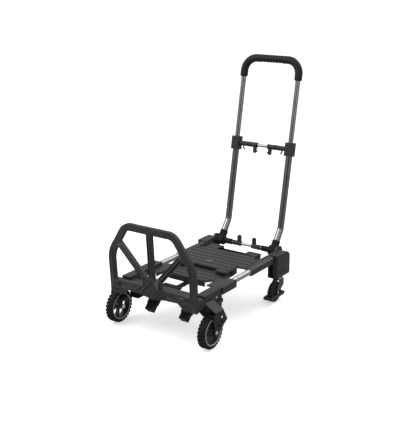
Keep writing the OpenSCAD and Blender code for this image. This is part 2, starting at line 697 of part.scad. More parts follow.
module caster_hub() rotate([0, 90, 0]) difference() {
    union() {
        cylinder(d = caster_d - 20, h = caster_w - 8, center = true);
        cylinder(d = 24, h = caster_w + 2, center = true);
    }
    cylinder(d = caster_axle_d + 2 * run_fit, h = caster_w + 4, center = true);
}
module caster_hub_right() color(pale_rim) caster_wheel_at(1) caster_hub();
module caster_hub_left() color(pale_rim) caster_wheel_at(-1) caster_hub();

module caster_tyre() rotate([0, 90, 0]) rotate_extrude() {
    translate([caster_d / 2 - 10, -caster_w / 2 + 1]) square([7, caster_w - 2]);
    translate([caster_d / 2 - 4, -caster_w / 2 + 4]) square([4, caster_w - 8]);
}
module caster_tyre_right() color(black_rubber) caster_wheel_at(1) caster_tyre();
module caster_tyre_left() color(black_rubber) caster_wheel_at(-1) caster_tyre();

// Rocker that hangs on the axle outside the fork, with a tread at each end
pedal_in = caster_w / 2 + 5.5;
module brake_pedal() {
    for (s = [-1, 1]) side(s) difference() {
        union() {
            rod_x(20, pedal_in, pedal_in + 3);
            block(pedal_in, pedal_in + 3, -58, 58, -24, -10);
            block(pedal_in, pedal_in + 3, -8, 8, -12, 0);
        }
        rod_x(caster_axle_d + 2 * run_fit, pedal_in - 1, pedal_in + 4);
    }
    for (y = [-58, 50]) block(-pedal_in - 3, pedal_in + 3, y, y + 8, -24, -10);
}
module brake_pedal_right() color(dark_plastic) caster_wheel_at(1) brake_pedal();
module brake_pedal_left() color(dark_plastic) caster_wheel_at(-1) brake_pedal();

rear_deck();
side_tubes();
rear_block_left();
rear_block_right();
handle_pivot_pins();
swivel_races();
deck_screws();
front_deck();
front_rail_left();
front_rail_right();
front_block_left();
front_block_right();
cross_bar();
lower_beam();
foot_left();
foot_right();
front_fork_left();
front_fork_right();
front_axles();
gate_hinge_pins();
front_screws();
gate_frame();
front_rim_left();
front_rim_right();
front_tyre_left();
front_tyre_right();
slide_paddle();
snap_button_left();
snap_button_right();
lower_tube_left();
lower_tube_right();
mid_housing_left();
mid_housing_right();
mid_rod();
lower_rod();
lower_arms();
housing_rivets();
upper_tube();
tube_plugs();
grip();
mid_sleeve_left();
mid_sleeve_right();
lower_sleeve_left();
lower_sleeve_right();
caster_fork_left();
caster_fork_right();
caster_pin_left();
caster_pin_right();
caster_axle_left();
caster_axle_right();
caster_hub_left();
caster_hub_right();
caster_tyre_left();
caster_tyre_right();
brake_pedal_left();
brake_pedal_right();
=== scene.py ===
import json
import math
import bmesh
import bpy
from mathutils import Matrix, Vector


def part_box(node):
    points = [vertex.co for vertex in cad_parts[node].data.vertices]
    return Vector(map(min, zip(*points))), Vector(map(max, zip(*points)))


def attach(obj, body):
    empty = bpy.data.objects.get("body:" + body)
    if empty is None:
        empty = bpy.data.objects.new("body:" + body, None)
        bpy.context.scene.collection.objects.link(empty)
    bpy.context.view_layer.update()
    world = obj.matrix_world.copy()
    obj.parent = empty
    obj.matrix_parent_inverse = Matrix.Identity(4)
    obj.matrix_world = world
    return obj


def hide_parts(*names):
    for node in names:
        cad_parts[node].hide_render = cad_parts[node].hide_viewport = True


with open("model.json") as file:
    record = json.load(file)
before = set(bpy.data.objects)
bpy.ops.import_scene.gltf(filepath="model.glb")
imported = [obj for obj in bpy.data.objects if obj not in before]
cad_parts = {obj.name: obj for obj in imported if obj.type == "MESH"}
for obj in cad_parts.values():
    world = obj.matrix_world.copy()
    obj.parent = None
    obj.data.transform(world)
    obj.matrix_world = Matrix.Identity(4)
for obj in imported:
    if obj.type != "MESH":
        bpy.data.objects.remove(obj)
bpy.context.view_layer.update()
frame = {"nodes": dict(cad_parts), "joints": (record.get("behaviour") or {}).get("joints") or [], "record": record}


joints = {joint["name"]: joint for joint in frame["joints"]}
legAxis = Vector(joints["handle_telescope"]["axis"]).normalized()
leanAngle = math.atan2(legAxis.y, legAxis.z)


class Link:
    # a shader value that takes part in plain sums
    def __init__(self, recipe, socket):
        self.recipe = recipe
        self.socket = socket

    def sum(self, operation, first, second):
        return self.recipe.node("ShaderNodeMath", {"operation": operation}, {0: first, 1: second})

    def __add__(self, other): return self.sum("ADD", self, other)
    def __radd__(self, other): return self.sum("ADD", other, self)
    def __sub__(self, other): return self.sum("SUBTRACT", self, other)
    def __rsub__(self, other): return self.sum("SUBTRACT", other, self)
    def __mul__(self, other): return self.sum("MULTIPLY", self, other)
    def __rmul__(self, other): return self.sum("MULTIPLY", other, self)
    def __gt__(self, other): return self.sum("GREATER_THAN", self, other)


class Recipe:
    # one material and the nodes that it is made from
    def __init__(self, name):
        self.material = bpy.data.materials.new(name)
        self.material.use_nodes = True
        self.tree = self.material.node_tree
        self.shader = self.tree.nodes["Principled BSDF"]

    def node(self, kind, settings, values, output=0):
        made = self.tree.nodes.new(kind)
        for key, value in settings.items():
            if key == "stops":
                for stop, (place, shade) in zip(made.color_ramp.elements, value):
                    stop.position = place
                    stop.color = (shade, shade, shade, 1)
            else:
                setattr(made, key, value)
        for key, value in values.items():
            self.plug(made.inputs[key], value)
        return Link(self, made.outputs[output])

    def plug(self, socket, value):
        if isinstance(value, Link):
            self.tree.links.new(value.socket, socket)
        else:
            socket.default_value = value

    def place(self, stretch=(1, 1, 1), lean=0.0):
        # object coordinates, leaned about X and then stretched
        spot = self.node("ShaderNodeTexCoord", {}, {}, "Object")
        return self.node("ShaderNodeMapping", {"vector_type": "TEXTURE"},
                         {"Vector": spot, "Rotation": (-lean, 0, 0), "Scale": tuple(1 / part for part in stretch)})

    def noise(self, scale, detail=3, rough=0.5, stretch=(1, 1, 1), lean=0.0):
        return self.node("ShaderNodeTexNoise", {}, {"Vector": self.place(stretch, lean), "Scale": scale,
                                                     "Detail": detail, "Roughness": rough})

    def ramp(self, value, low, high, dark=0, light=1):
        return self.node("ShaderNodeValToRGB", {"stops": [(low, dark), (high, light)]}, {"Fac": value})

    def blend(self, amount, first, second):
        return self.node("ShaderNodeMix", {"data_type": "RGBA"}, {0: amount, 6: first, 7: second}, 2)

    def bump(self, height, depth, strength=1.0, under=None):
        values = {"Height": height, "Distance": depth, "Strength": strength}
        if under:
            values["Normal"] = under
        return self.node("ShaderNodeBump", {}, values)

    def finish(self, **values):
        for key, value in values.items():
            self.plug(self.shader.inputs[key.replace("_", " ")], value)
        return self.material


def shade(level, tint=(1, 1, 1)):
    return (level * tint[0], level * tint[1], level * tint[2], 1)


# levels of one charcoal plastic: the gate copy is lighter as painted light on its upright face, the deck copy darker as
# painted shade on the lit decks, and the dark copy much darker as painted shade under the deck and in the detent holes
plasticLook = {"gate": 0.028, "frame": 0.021, "deck": 0.016, "dark": 0.005, "grain": 2400, "grainDepth": 0.00006,
               "tint": (0.97, 1.0, 1.03)}


def mouldedPlastic(name, level, roughness, scuffs=0.35, ribs=0.0, gloss=0.24):
    # fine moulded grain, slow tone changes, and light scuffs that break up the gloss
    recipe = Recipe(name)
    tint = plasticLook["tint"]
    grain = recipe.noise(plasticLook["grain"], 2, 0.6)
    tone = recipe.noise(9, 4, 0.55)
    cloudy = recipe.ramp(tone, 0.32, 0.72)
    worn = recipe.ramp(recipe.noise(60, 6, 0.7, (1, 0.25, 1)), 0.60, 0.78) * scuffs
    colour = recipe.blend(cloudy, shade(level * 0.84, tint), shade(level * 1.2, tint))
    colour = recipe.blend(worn, colour, shade(level * 2.0 + 0.01, tint))
    rough = roughness + 0.10 * (tone - 0.5) + 0.10 * worn + 0.05 * grain
    normal = recipe.bump(grain, plasticLook["grainDepth"], 0.55)
    if ribs:
        brushed = recipe.noise(420, 2, 0.5, (0.06, 1, 1))
        normal = recipe.bump(brushed, ribs, 0.5, normal)
    return recipe.finish(Base_Color=colour, Roughness=rough, Normal=normal, Specular_IOR_Level=gloss)


def platedSteel(name, level, roughness, stretch=(1, 1, 0.03), lean=0.0):
    # drawn tube: long faint draw lines, cloudy plating
    recipe = Recipe(name)
    lines = recipe.noise(900, 2, 0.6, stretch, lean)
    cloud = recipe.noise(22, 4, 0.6)
    spots = recipe.ramp(recipe.noise(260, 3, 0.7), 0.66, 0.80)
    colour = recipe.blend(recipe.ramp(cloud, 0.3, 0.7), shade(level * 0.9), shade(level * 1.08, (1, 1.01, 1.02)))
    colour = recipe.blend(spots * 0.25, colour, shade(level * 0.6))
    rough = roughness + 0.10 * (cloud - 0.5) + 0.10 * lines + 0.08 * spots
    return recipe.finish(Base_Color=colour, Metallic=1.0, Roughness=rough,
                         Normal=recipe.bump(lines, 0.00002, 0.15))


def softRubber(name, level, roughness, grainScale, depth):
    recipe = Recipe(name)
    grain = recipe.noise(grainScale, 3, 0.6)
    dusty = recipe.ramp(recipe.noise(35, 5, 0.65), 0.5, 0.8)
    colour = recipe.blend(dusty, shade(level), shade(level * 1.9, (1.0, 0.99, 0.97)))
    rough = roughness + 0.12 * (dusty - 0.3)
    return recipe.finish(Base_Color=colour, Roughness=rough, Normal=recipe.bump(grain, depth, 0.6),
                         Specular_IOR_Level=0.22)


# the gate's copy of the charcoal plastic is made lighter than the frame's: painted light on the gate's upright face
litGatePlastic = mouldedPlastic("litGatePlastic", plasticLook["gate"], 0.50, 0.25, 0.0, 0.20)
framePlastic = mouldedPlastic("framePlastic", plasticLook["frame"], 0.50)
# the decks' copy of the charcoal plastic is made darker than the frame's: painted shade on the decks' lit tops
shadedDeckPlastic = mouldedPlastic("shadedDeckPlastic", plasticLook["deck"], 0.50, 0.4, 0.00012, 0.36)
# a much darker copy of the charcoal plastic: painted shade for the parts under the deck and in the detent holes
shadedInnerPlastic = mouldedPlastic("shadedInnerPlastic", plasticLook["dark"], 0.62, 0.2, 0.0, 0.15)
rimPlastic = mouldedPlastic("rimPlastic", 0.30, 0.38, 0.3)
spokePlastic = mouldedPlastic("spokePlastic", 0.020, 0.38, 0.3, 0.0, 0.4)
labelPlastic = mouldedPlastic("labelPlastic", 0.075, 0.36, 0.1)
forkPlastic = mouldedPlastic("forkPlastic", 0.007, 0.46, 0.2, 0.0, 0.22)
steelTube = platedSteel("steelTube", 0.34, 0.42, (1, 0.02, 1))
steelRod = platedSteel("steelRod", 0.22, 0.18, (0.03, 1, 1))
steelLower = platedSteel("steelLower", 0.18, 0.15, (1, 1, 0.02), leanAngle)
steelUpper = platedSteel("steelUpper", 0.26, 0.16, (1, 1, 0.02), leanAngle)
steelBright = platedSteel("steelBright", 0.62, 0.14, (1, 1, 1))
steelDark = platedSteel("steelDark", 0.045, 0.34, (1, 1, 1))
blackSteel = mouldedPlastic("blackSteel", 0.016, 0.34, 0.4, 0.0, 0.4)
tyreRubber = softRubber("tyreRubber", 0.009, 0.72, 1500, 0.00010)
gripRubber = softRubber("gripRubber", 0.008, 0.62, 2600, 0.00006)
print("materials made")


def spanOf(node):
    low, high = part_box(node)
    return Vector(low), Vector(high)


def middleOf(node):
    low, high = spanOf(node)
    return (low + high) / 2


def addBox(bm, low, high, turn=Matrix.Identity(4)):
    size = [b - a for a, b in zip(low, high)]
    middle = [(a + b) / 2 for a, b in zip(low, high)]
    made = bmesh.ops.create_cube(bm, size=1, matrix=turn @ Matrix.Translation(middle) @ Matrix.Diagonal((*size, 1)))
    return made["verts"]


def addRod(bm, start, end, radius, sides=32, farRadius=None):
    start, end = Vector(start), Vector(end)
    along = end - start
    turn = along.to_track_quat("Z", "Y").to_matrix().to_4x4()
    made = bmesh.ops.create_cone(bm, cap_ends=True, segments=sides, radius1=radius,
                                 radius2=radius if farRadius is None else farRadius, depth=along.length,
                                 matrix=Matrix.Translation((start + end) / 2) @ turn)
    return made["verts"]


def addTurned(bm, profile, middle, axis, sides=48, closed=False):
    # spins (distance along the axis, radius) points about the axis through middle
    axis = Vector(axis).normalized()
    out = axis.orthogonal().normalized()
    verts = [bm.verts.new(Vector(middle) + axis * along + out * radius) for along, radius in profile]
    edges = [bm.edges.new(pair) for pair in zip(verts, verts[1:])]
    if closed:
        edges.append(bm.edges.new((verts[-1], verts[0])))
    made = bmesh.ops.spin(bm, geom=verts + edges, cent=middle, axis=axis, angle=math.tau, steps=sides,
                          use_merge=True, use_duplicate=False)
    bmesh.ops.remove_doubles(bm, verts=bm.verts, dist=1e-7)
    return made


def rounded(bm, width, segments=2, angle=30):
    # rounds every edge that is sharper than the angle
    limit = math.radians(angle)
    edges = [e for e in bm.edges if len(e.link_faces) == 2 and e.calc_face_angle() > limit]
    bmesh.ops.bevel(bm, geom=edges, offset=width, offset_type="OFFSET", affect="EDGES", segments=segments,
                    profile=0.5, material=-1, clamp_overlap=True)


def copyOf(*nodes):
    # the CAD nodes' meshes, merged so that their edges can be rounded
    bm = bmesh.new()
    for node in nodes:
        bm.from_mesh(frame["nodes"][node].data)
    bmesh.ops.remove_doubles(bm, verts=bm.verts, dist=2e-6)
    bmesh.ops.dissolve_limit(bm, angle_limit=math.radians(1), verts=bm.verts, edges=bm.edges)
    return bm


def addPiece(name, bm, body, finish, stands=(), bevel=0.0, segments=2, sharp=32, fixNormals=False):
    if fixNormals:
        bmesh.ops.recalc_face_normals(bm, faces=bm.faces)
    mesh = bpy.data.meshes.new(name)
    bm.to_mesh(mesh)
    bm.free()
    mesh.materials.append(finish)
    for face in mesh.polygons:
        face.use_smooth = True
    mesh.set_sharp_from_angle(angle=math.radians(sharp))
    piece = bpy.data.objects.new(name, mesh)
    bpy.context.scene.collection.objects.link(piece)
    if bevel:
        edge = piece.modifiers.new("roundedEdges", "BEVEL")
        edge.width = bevel
        edge.segments = segments
        edge.limit_method = "ANGLE"
        edge.angle_limit = math.radians(sharp)
        edge.harden_normals = True
        edge.use_clamp_overlap = True
    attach(piece, body)
    if stands:
        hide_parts(*stands)
    return piece


bodyOf = {node: body for body, nodes in frame["record"]["behaviour"]["bodies"].items() for node in nodes}
slotOf = {part["node"]: part["material_slot"] for part in frame["record"]["subparts"]}
sides = (("left", -1), ("right", 1))
hinge = Vector(joints["gate_hinge"]["pos_m"])
faceY = hinge.y - 0.040


def carve(bm, cutters):
    # cuts closed shapes out of bm and returns the result
    solids = []
    for shape, label in ((bm, "stock"), (cutters, "cutter")):
        bmesh.ops.recalc_face_normals(shape, faces=shape.faces)
        mesh = bpy.data.meshes.new(label)
        shape.to_mesh(mesh)
        shape.free()
        solid = bpy.data.objects.new(label, mesh)
        bpy.context.scene.collection.objects.link(solid)
        solids.append(solid)
    stock, cutter = solids
    cut = stock.modifiers.new("cut", "BOOLEAN")
    cut.operation = "DIFFERENCE"
    cut.solver = "EXACT"
    cut.use_self = True
    cut.object = cutter
    shaped = stock.evaluated_get(bpy.context.evaluated_depsgraph_get())
    result = bmesh.new()
    result.from_mesh(shaped.to_mesh())
    shaped.to_mesh_clear()
    for solid in solids:
        mesh = solid.data
        bpy.data.objects.remove(solid)
        bpy.data.meshes.remove(mesh)
    bmesh.ops.remove_doubles(result, verts=result.verts, dist=1e-6)
    bmesh.ops.dissolve_limit(result, angle_limit=math.radians(0.5), verts=result.verts, edges=result.edges)
    return result


gateTrim = {"lean": 3.9, "foot": 0.026, "panelTop": 0.061, "hub": 0.055, "spokeTurn": 47.5, "spokeWidth": 0.024,
            "cornerRound": 0.008, "round": 0.0035, "channelEdge": 0.0048, "channelDepth": 0.0062,
            "groove": 0.0038, "grooveDepth": 0.0048, "ledge": 0.0022}


def makeGate():
    # shaped upright, then leaned back to its place about the hinge
    bm = copyOf("gate_frame")
    upright = Matrix.Translation(hinge) @ Matrix.Rotation(math.radians(-gateTrim["lean"]), 4, "X") @ Matrix.Translation(-hinge)
    bm.transform(upright)
    foot = hinge.z - gateTrim["foot"]
    high = max(v.co.z for v in bm.verts)
    wide = max(v.co.x for v in bm.verts)
    corners = [e for e in bm.edges if len(e.link_faces) == 2 and not e.is_convex
               and abs((e.verts[0].co - e.verts[1].co).normalized().y) > 0.99 and e.calc_face_angle() > math.radians(25)
               and e.verts[0].co.z > foot + gateTrim["panelTop"] - 0.002]
    bmesh.ops.bevel(bm, geom=corners, offset=gateTrim["cornerRound"], offset_type="OFFSET", affect="EDGES", segments=4,
                    profile=0.5, material=-1, clamp_overlap=True)
    rounded(bm, gateTrim["round"], 3, 40)
    cuts = bmesh.new()
    hub = foot + gateTrim["hub"]

    def strip(start, end, width, deep):
        # a shallow straight cut in the front face from start to end, as (x, z)
        start, end = Vector((start[0], faceY, start[1])), Vector((end[0], faceY, end[1]))
        along = end - start
        turn = Matrix.Translation(start) @ Matrix.Rotation(-math.atan2(along.z, along.x), 4, "Y")
        addBox(cuts, (0, -0.01, -width / 2), (along.length, deep, width / 2), turn)

    edge = gateTrim["channelEdge"]
    deep = gateTrim["channelDepth"]
    inset = gateTrim["spokeWidth"] / 2 - 0.0035 - edge / 2
    turned = math.radians(gateTrim["spokeTurn"])
    groove, grooveDeep = gateTrim["groove"], gateTrim["grooveDepth"]
    for _, side in sides:
        run = Vector((side * math.cos(turned), 0, math.sin(turned)))
        across = Vector((run.z, 0, -run.x))
        for lean in (-1, 1):
            start = Vector((0, 0, hub)) + run * 0.062 + across * inset * lean
            end = start + run * 0.150
            strip((start.x, start.z), (end.x, end.z), edge, deep)
        strip((side * inset, hub + 0.055), (side * inset, high - 0.040), edge * 0.8, deep * 0.8)
        # grooves that run down from the hub across the panel
        strip((side * 0.002, foot + 0.080), (side * 0.052, foot + 0.033), groove, grooveDeep)
        strip((side * 0.050, foot + 0.056), (side * 0.072, foot + 0.035), groove, grooveDeep)
        strip((side * 0.036, foot + 0.090), (side * 0.039, foot + 0.058), groove, grooveDeep)
        strip((side * 0.168, foot + 0.056), (side * 0.154, foot + 0.041), groove, grooveDeep)
        # ledges along the panel and across the tab
        strip((side * 0.078, foot + 0.044), (side * 0.190, foot + 0.046), gateTrim["ledge"], 0.0020)
        strip((side * 0.148, foot + 0.022), (side * (wide - 0.004), foot + 0.018), gateTrim["ledge"], 0.0020)
        strip((side * (wide - 0.022), foot + 0.066), (side * (wide - 0.022), foot + 0.200), gateTrim["ledge"], 0.0016)
    bm = carve(bm, cuts)
    bm.transform(upright.inverted())
    return addPiece("gateFrame", bm, "gate", litGatePlastic, ["gate_frame"], 0.0007, 2, 50)


makeGate()
print("gate made")

deckTrim = {"pitch": 0.0335, "ribWidth": 0.026, "ribHeight": 0.0016, "border": 0.005, "firstTrough": 0.4535,
            "plaque": (-0.005, 0.403), "plaqueSize": (0.0190, 0.0100), "plaqueHigh": 0.0016}


def makeRibs(name, node, body, halfWidth):
    # broad raised bands across a deck's top, cut from its top face so that they follow its outline
    low, high = spanOf(node)
    bm = copyOf(node)
    flat = [f for f in bm.faces if f.normal.z > 0.99 and f.calc_center_median().z > high.z - 0.0005]
    bmesh.ops.delete(bm, geom=[f for f in bm.faces if f not in set(flat)], context="FACES")
    for x, normal in ((halfWidth, 1), (-halfWidth, -1)):
        bmesh.ops.bisect_plane(bm, geom=bm.verts[:] + bm.edges[:] + bm.faces[:], dist=1e-6, plane_co=(x, 0, 0),
                               plane_no=(normal, 0, 0), clear_outer=True)
    bmesh.ops.dissolve_limit(bm, angle_limit=math.radians(1), verts=bm.verts, edges=bm.edges)
    rim = bmesh.ops.inset_region(bm, faces=bm.faces[:], thickness=deckTrim["border"], use_even_offset=True,
                                 use_boundary=True)["faces"]
    bmesh.ops.delete(bm, geom=rim, context="FACES")
    pitch, width = deckTrim["pitch"], deckTrim["ribWidth"]
    start = faceY + deckTrim["firstTrough"] + (pitch - width) / 2 - 20 * pitch
    for step in range(40):
        for edge in (0, width):
            spot = start + step * pitch + edge
            if low.y < spot < high.y:
                bmesh.ops.bisect_plane(bm, geom=bm.verts[:] + bm.edges[:] + bm.faces[:], dist=1e-6,
                                       plane_co=(0, spot, 0), plane_no=(0, 1, 0))
    gaps = [f for f in bm.faces if (f.calc_center_median().y - start) % pitch > width]
    bmesh.ops.delete(bm, geom=gaps, context="FACES")
    risen = bmesh.ops.extrude_face_region(bm, geom=bm.faces[:])["geom"]
    bmesh.ops.translate(bm, vec=(0, 0, deckTrim["ribHeight"]), verts=[v for v in risen if isinstance(v, bmesh.types.BMVert)])
    return addPiece(name, bm, body, shadedDeckPlastic, (), 0.0006, 2, 40, True)


def makePlaque():
    # a bare oval plaque in the middle of the rear deck
    top = spanOf("rear_deck")[1].z
    x, back = deckTrim["plaque"]
    wide, deep = deckTrim["plaqueSize"]
    bm = bmesh.new()
    for inset, low, high in ((0.0, 0.0, deckTrim["plaqueHigh"] + deckTrim["ribHeight"]),
                             (0.0022, 0.0, deckTrim["plaqueHigh"] + deckTrim["ribHeight"] + 0.0006)):
        made = bmesh.ops.create_cone(bm, cap_ends=True, segments=48, radius1=1, radius2=1, depth=1)["verts"]
        bmesh.ops.scale(bm, vec=(wide - inset, deep - inset, high - low), verts=made)
        bmesh.ops.translate(bm, vec=(x, faceY + back, top + (low + high) / 2), verts=made)
    addPiece("deckPlaque", bm, "rear_frame", labelPlastic, (), 0.0004, 2, 40, True)


def makeDecks():
    addPiece("rearDeck", copyOf("rear_deck"), "rear_frame", shadedDeckPlastic, ["rear_deck"], 0.0016, 2, 40)
    addPiece("frontDeck", copyOf("front_deck"), "front_frame", shadedDeckPlastic, ["front_deck"], 0.0010, 2, 40)
    makeRibs("rearDeckRibs", "rear_deck", "rear_frame", 0.170)
    makeRibs("frontDeckRibs", "front_deck", "front_frame", 0.116)
    makePlaque()


makeDecks()
print("decks made")

wheelTrim = {"lugs": 28, "lugDepth": 0.0042, "sides": 84, "spokes": 5, "ringWidth": 0.0048}


def makeFrontWheel(label, side):
    low, high = spanOf("front_tyre_" + label)
    middle = (low + high) / 2
    radius = (high.z - low.z) / 2
    half = (high.x - low.x) / 2
    rimRadius = (spanOf("front_rim_" + label)[1].z - spanOf("front_rim_" + label)[0].z) / 2
    body = "front_wheel_" + label
    axis = Vector((1, 0, 0))
    carcass = radius - wheelTrim["lugDepth"]
    bm = bmesh.new()
    wall = [(-half + 0.003, rimRadius), (-half + 0.0005, rimRadius + 0.003), (-half + 0.001, carcass - 0.007),
            (-half + 0.005, carcass - 0.002), (-half * 0.45, carcass)]
    profile = wall + [(-along, reach) for along, reach in reversed(wall)]
    addTurned(bm, profile, middle, axis, wheelTrim["sides"], True)
    # tread: shoulder lugs and staggered centre blocks
    for count in range(wheelTrim["lugs"]):
        for row, (inner, outer, shift) in enumerate(((-half + 0.0012, -half * 0.40, 0), (-half * 0.30, half * 0.30, 0.5),
                                                     (half * 0.40, half - 0.0012, 0))):
            turn = Matrix.Translation(middle) @ Matrix.Rotation(math.tau * (count + shift) / wheelTrim["lugs"], 4, "X")
            width = math.pi * radius / wheelTrim["lugs"] * (0.56 if row != 1 else 0.60)
            drop = 0.0085 if row != 1 else 0.004
            verts = addBox(bm, (inner, -width, carcass - drop + 0.002), (outer, width, radius - 0.0002), turn)
            if row != 1:
                edge = [v for v in verts if abs((v.co.x - middle.x)) > half - 0.002 and
                        (v.co - middle).length > radius - 0.001]
                for v in edge:
                    v.co.x -= math.copysign(0.003, v.co.x - middle.x)
    addPiece("frontTyre_" + label, bm, body, tyreRubber, ["front_tyre_" + label], 0.0006, 1, 35, True)

    rim = bmesh.new()
    dish = 0.004 * side
    addTurned(rim, [(-half + 0.004, rimRadius), (-half + 0.004, rimRadius - 0.006), (0, rimRadius - 0.008),
                    (half - 0.004, rimRadius - 0.006), (half - 0.004, rimRadius)], middle, axis, 64, True)
    hubRadius = 0.0150
    for count in range(wheelTrim["spokes"]):
        turn = Matrix.Translation(middle) @ Matrix.Rotation(math.tau * count / wheelTrim["spokes"] + 0.3, 4, "X")
        for splay in (-1, 1):
            lean = turn @ Matrix.Rotation(math.radians(10 * splay), 4, "X")
            addBox(rim, (-0.0075, -0.0032, hubRadius - 0.004), (0.0075 + dish, 0.0032, rimRadius - 0.005), lean)
    addTurned(rim, [(-half + 0.006, 0.0052), (-half + 0.004, 0.011), (-half + 0.010, hubRadius),
                    (half - 0.010, hubRadius), (half - 0.004, 0.011), (half - 0.006, 0.0052)], middle, axis, 40, True)
    addPiece("frontRim_" + label, rim, body, spokePlastic, ["front_rim_" + label], 0.0012, 2, 35, True)

    ring = bmesh.new()
    for face in (-1, 1):
        edge = face * (half - 0.0035)
        width = wheelTrim["ringWidth"]
        addTurned(ring, [(edge, rimRadius + 0.0004), (edge + face * 0.0022, rimRadius - 0.001),
                         (edge + face * 0.0026, rimRadius - width * 0.6), (edge, rimRadius - width)],
                  middle, axis, 72, True)
        hub = face * (half - 0.009)
        addTurned(ring, [(hub, 0.0138), (hub + face * 0.002, 0.0130), (hub + face * 0.002, 0.0100), (hub, 0.0092)],
                  middle, axis, 40, True)
    addPiece("rimRings_" + label, ring, body, rimPlastic, (), 0, 1, 35, True)


for label, side in sides:
    makeFrontWheel(label, side)
print("front wheels made")

frontTrim = {"round": 0.0022}


def makeFrontFrame():
    for label, side in sides:
        low, high = spanOf("front_fork_" + label)
        fork = copyOf("front_fork_" + label)
        outer = side * max(abs(low.x), abs(high.x))
        axle = middleOf("front_tyre_" + label)
        addPiece("frontFork_" + label, fork, "front_frame", forkPlastic, ["front_fork_" + label],
                 frontTrim["round"], 3, 40)
        nut = bmesh.new()
        addRod(nut, (outer - side * 0.001, axle.y, axle.z), (outer + side * 0.0035, axle.y, axle.z), 0.0085, 6)
        addRod(nut, (outer + side * 0.003, axle.y, axle.z), (outer + side * 0.006, axle.y, axle.z), 0.0048, 24)
        addPiece("axleNut_" + label, nut, "front_frame", steelBright, (), 0.0008, 2, 35, True)
    for node in ("front_rail_left", "front_rail_right", "front_block_left", "front_block_right", "cross_bar",
                 "lower_beam", "slide_paddle"):
        # the beam and paddle under the deck take the much darker copy: painted shade
        finish = shadedInnerPlastic if node in ("lower_beam", "slide_paddle") else framePlastic
        addPiece(node + "_shell", copyOf(node), bodyOf[node], finish, [node], frontTrim["round"], 3, 40)
    for node in ("foot_left", "foot_right"):
        addPiece(node + "_pad", copyOf(node), "front_frame", gripRubber, [node], 0.003, 3, 40)


makeFrontFrame()
print("front frame made")


def makeRearFrame():
    for label, side in sides:
        node = "rear_block_" + label
        addPiece("rearBlock_" + label, copyOf(node), "rear_frame", framePlastic, [node], 0.0025, 3, 40)
    addPiece("sideTubes", copyOf("side_tubes"), "rear_frame", steelTube, ["side_tubes"], 0.0006, 2, 40)


makeRearFrame()
print("rear frame made")


def makeCasters():
    for label, side in sides:
        swivel, wheel, brake = "swivel_" + label, "caster_wheel_" + label, "brake_" + label
        addPiece("casterFork_" + label, copyOf("caster_fork_" + label), swivel, blackSteel,
                 ["caster_fork_" + label], 0.0012, 2, 40)
        low, high = spanOf("caster_tyre_" + label)
        middle = (low + high) / 2
        radius = (high.z - low.z) / 2
        half = (high.x - low.x) / 2
        tyre = bmesh.new()
        wall = [(-half, radius - 0.010), (-half, radius - 0.005), (-half + 0.0012, radius - 0.002),
                (-half + 0.004, radius - 0.0002), (-half * 0.35, radius)]
        addTurned(tyre, wall + [(-a, r) for a, r in reversed(wall)], middle, (1, 0, 0), 56, True)
        addPiece("casterTyre_" + label, tyre, wheel, tyreRubber, ["caster_tyre_" + label], 0, 1, 35, True)
        hub = bmesh.new()
        inner = radius - 0.0102
        web = [(-half + 0.001, inner), (-half + 0.001, inner - 0.004), (-0.004, inner - 0.007), (-0.004, 0.014),
               (-half - 0.0005, 0.0115), (-half - 0.0005, 0.0042)]
        addTurned(hub, web + [(-a, r) for a, r in reversed(web)], middle, (1, 0, 0), 48, True)
        for count in range(6):
            turn = Matrix.Translation(middle) @ Matrix.Rotation(math.tau * count / 6, 4, "X")
            addBox(hub, (-half + 0.0025, -0.0014, 0.012), (half - 0.0025, 0.0014, inner - 0.002), turn)
        addPiece("casterHub_" + label, hub, wheel, spokePlastic, ["caster_hub_" + label], 0.0005, 1, 35, True)
        addPiece("brakePedal_" + label, copyOf("brake_pedal_" + label), brake, framePlastic,
                 ["brake_pedal_" + label], 0.0014, 2, 40)


makeCasters()
print("casters made")

gripTrim = {"radius": 0.018, "corner": 0.060, "waves": 7, "waveDepth": 0.0034, "waveHalf": 0.055, "shrink": 0.0008,
            "taper": 0.006}
kick = {"length": 0.105, "slant": 36, "holes": (0.504, 0.640), "holeRadius": 0.0050}


def leanAt(middle):
    # a frame at middle whose z runs up along the straight legs
    return Matrix.Translation(middle) @ Matrix.Rotation(-leanAngle, 4, "X")


def makeDetentHoleShade():
    # dark discs on the inner side of the left upper leg: painted shade where the detent holes are
    slant = math.radians(kick["slant"])
    bend = Vector(joints["handle_fold"]["pos_m"]) + Vector((0, math.sin(slant), math.cos(slant))) * kick["length"]
    inner = spanOf("lower_tube_right")
    legX = (inner[0].x + inner[1].x) / 2
    tube = spanOf("upper_tube")[1].x - legX
    bm = bmesh.new()
    front = Vector((1, 0, 0)).cross(legAxis)
    shell = tube + 0.00015
    for reach in kick["holes"]:
        middle = bend + legAxis * reach + Vector((-legX, 0, 0))
        disc = bmesh.new()
        bmesh.ops.create_circle(disc, cap_ends=True, cap_tris=True, segments=20, radius=kick["holeRadius"])
        bmesh.ops.subdivide_edges(disc, edges=disc.edges[:], cuts=3, use_grid_fill=True)
        for v in disc.verts:
            turned = v.co.y / shell
            v.co = middle + legAxis * v.co.x + Vector((shell * math.cos(turned), 0, 0)) + front * shell * math.sin(turned)
        patch = bpy.data.meshes.new("patch")
        disc.to_mesh(patch)
        disc.free()
        bm.from_mesh(patch)
        bpy.data.meshes.remove(patch)
    # the discs carry the much darker plastic as painted shade in the holes
    addPiece("detentHoleShade", bm, "upper_handle", shadedInnerPlastic, (), 0, 1, 40, True)


